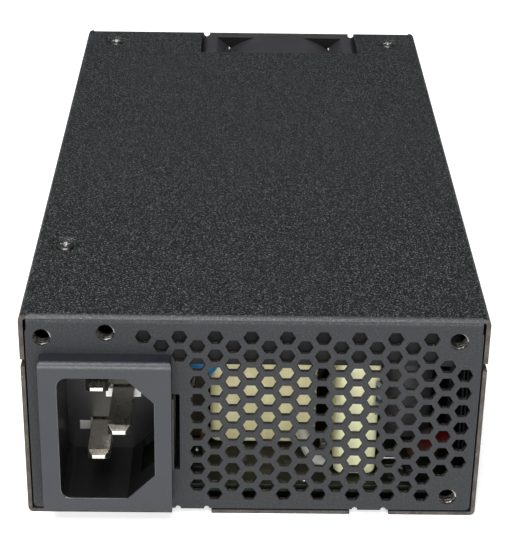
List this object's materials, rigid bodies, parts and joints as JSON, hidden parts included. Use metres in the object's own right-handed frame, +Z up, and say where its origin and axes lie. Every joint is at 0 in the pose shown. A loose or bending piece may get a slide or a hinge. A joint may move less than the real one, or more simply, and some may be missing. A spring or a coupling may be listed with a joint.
{
  "type": "computer power supply unit",
  "caption": "Slim sheet-metal computer power supply with an upright mains inlet, a hexagonal rear vent grille, a small fan and output sockets.",
  "frame": {"origin": "centre of the bounding box at its lowest face, which is the underside of the base tray", "axes": "+Z up, -Y out of the rear panel with the mains inlet, +X to the right when facing the rear panel"},
  "size_m": [0.0816, 0.1568, 0.0405],
  "materials": {
    "powder_coat": "black powder coat with fine grain",
    "dark_screw": "black oxide with a bare cross recess",
    "screw_steel": "zinc plated",
    "brass": "plain",
    "film": "satin",
    "inlet_plastic": "satin moulded",
    "nickel": "nickel plated",
    "brown_wire": "satin",
    "blue_wire": "satin",
    "green_wire": "satin",
    "fan_plastic": "satin moulded",
    "copper": "enamelled wire",
    "guard_wire": "bright plated wire",
    "circuit_board": "solder mask",
    "cream_tape": "polyester tape",
    "silicone": "satin",
    "blue_resin": "gloss",
    "red_resin": "gloss",
    "grey_sleeve": "satin shrink sleeve",
    "ceramic": "matt",
    "black_plastic": "moulded",
    "aluminium": "plain"
  },
  "bodies": {
    "unit": {"cover": "powder_coat", "base_tray": "powder_coat", "insulation_film": "film", "inlet_housing": "inlet_plastic", "line_blade": "nickel", "neutral_blade": "nickel", "earth_blade": "nickel", "line_lead": "brown_wire", "neutral_lead": "blue_wire", "earth_lead": "green_wire", "fan_frame": "fan_plastic", "fan_bearing": "brass", "fan_stator": "copper", "finger_guard": "guard_wire", "main_board": "circuit_board", "filter_choke_block": "cream_tape", "filter_choke_tall": "cream_tape", "silicone_blob": "silicone", "y_capacitor": "blue_resin", "filter_capacitor": "grey_sleeve", "varistor": "red_resin", "fuse": "ceramic", "bridge_rectifier": "black_plastic", "boost_choke": "copper", "bulk_capacitor": "grey_sleeve", "main_transformer": "cream_tape", "standby_transformer": "cream_tape", "heat_sink_primary": "aluminium", "heat_sink_output": "aluminium", "switch_transistor": "black_plastic", "output_transistor": "black_plastic", "output_choke": "copper", "control_board": "circuit_board", "output_board_left": "circuit_board", "output_board_right": "circuit_board", "main_socket_wide": "black_plastic", "main_socket_narrow": "black_plastic", "processor_socket": "black_plastic", "graphics_socket": "black_plastic", "cover_screw_rear_left": "dark_screw", "cover_screw_far_left": "dark_screw", "cover_screw_far_right": "dark_screw", "fan_screw_1": "screw_steel", "standoff_1": "brass", "board_screw_1": "screw_steel", "fan_screw_2": "screw_steel", "standoff_2": "brass", "board_screw_2": "screw_steel", "fan_screw_3": "screw_steel", "standoff_3": "brass", "board_screw_3": "screw_steel", "fan_screw_4": "screw_steel", "standoff_4": "brass", "board_screw_4": "screw_steel", "output_capacitor_1": "aluminium", "output_capacitor_2": "aluminium", "output_capacitor_3": "aluminium"},
    "rotor": {"fan_rotor": "fan_plastic", "fan_shaft": "screw_steel"}
  },
  "joints": [
    {"name": "fan_spin", "type": "hinge", "parent": "unit", "child": "rotor", "pos_m": [0.0069, 0.0666, 0.0201], "axis": [0, 1, 0], "continuous": true}
  ]
}
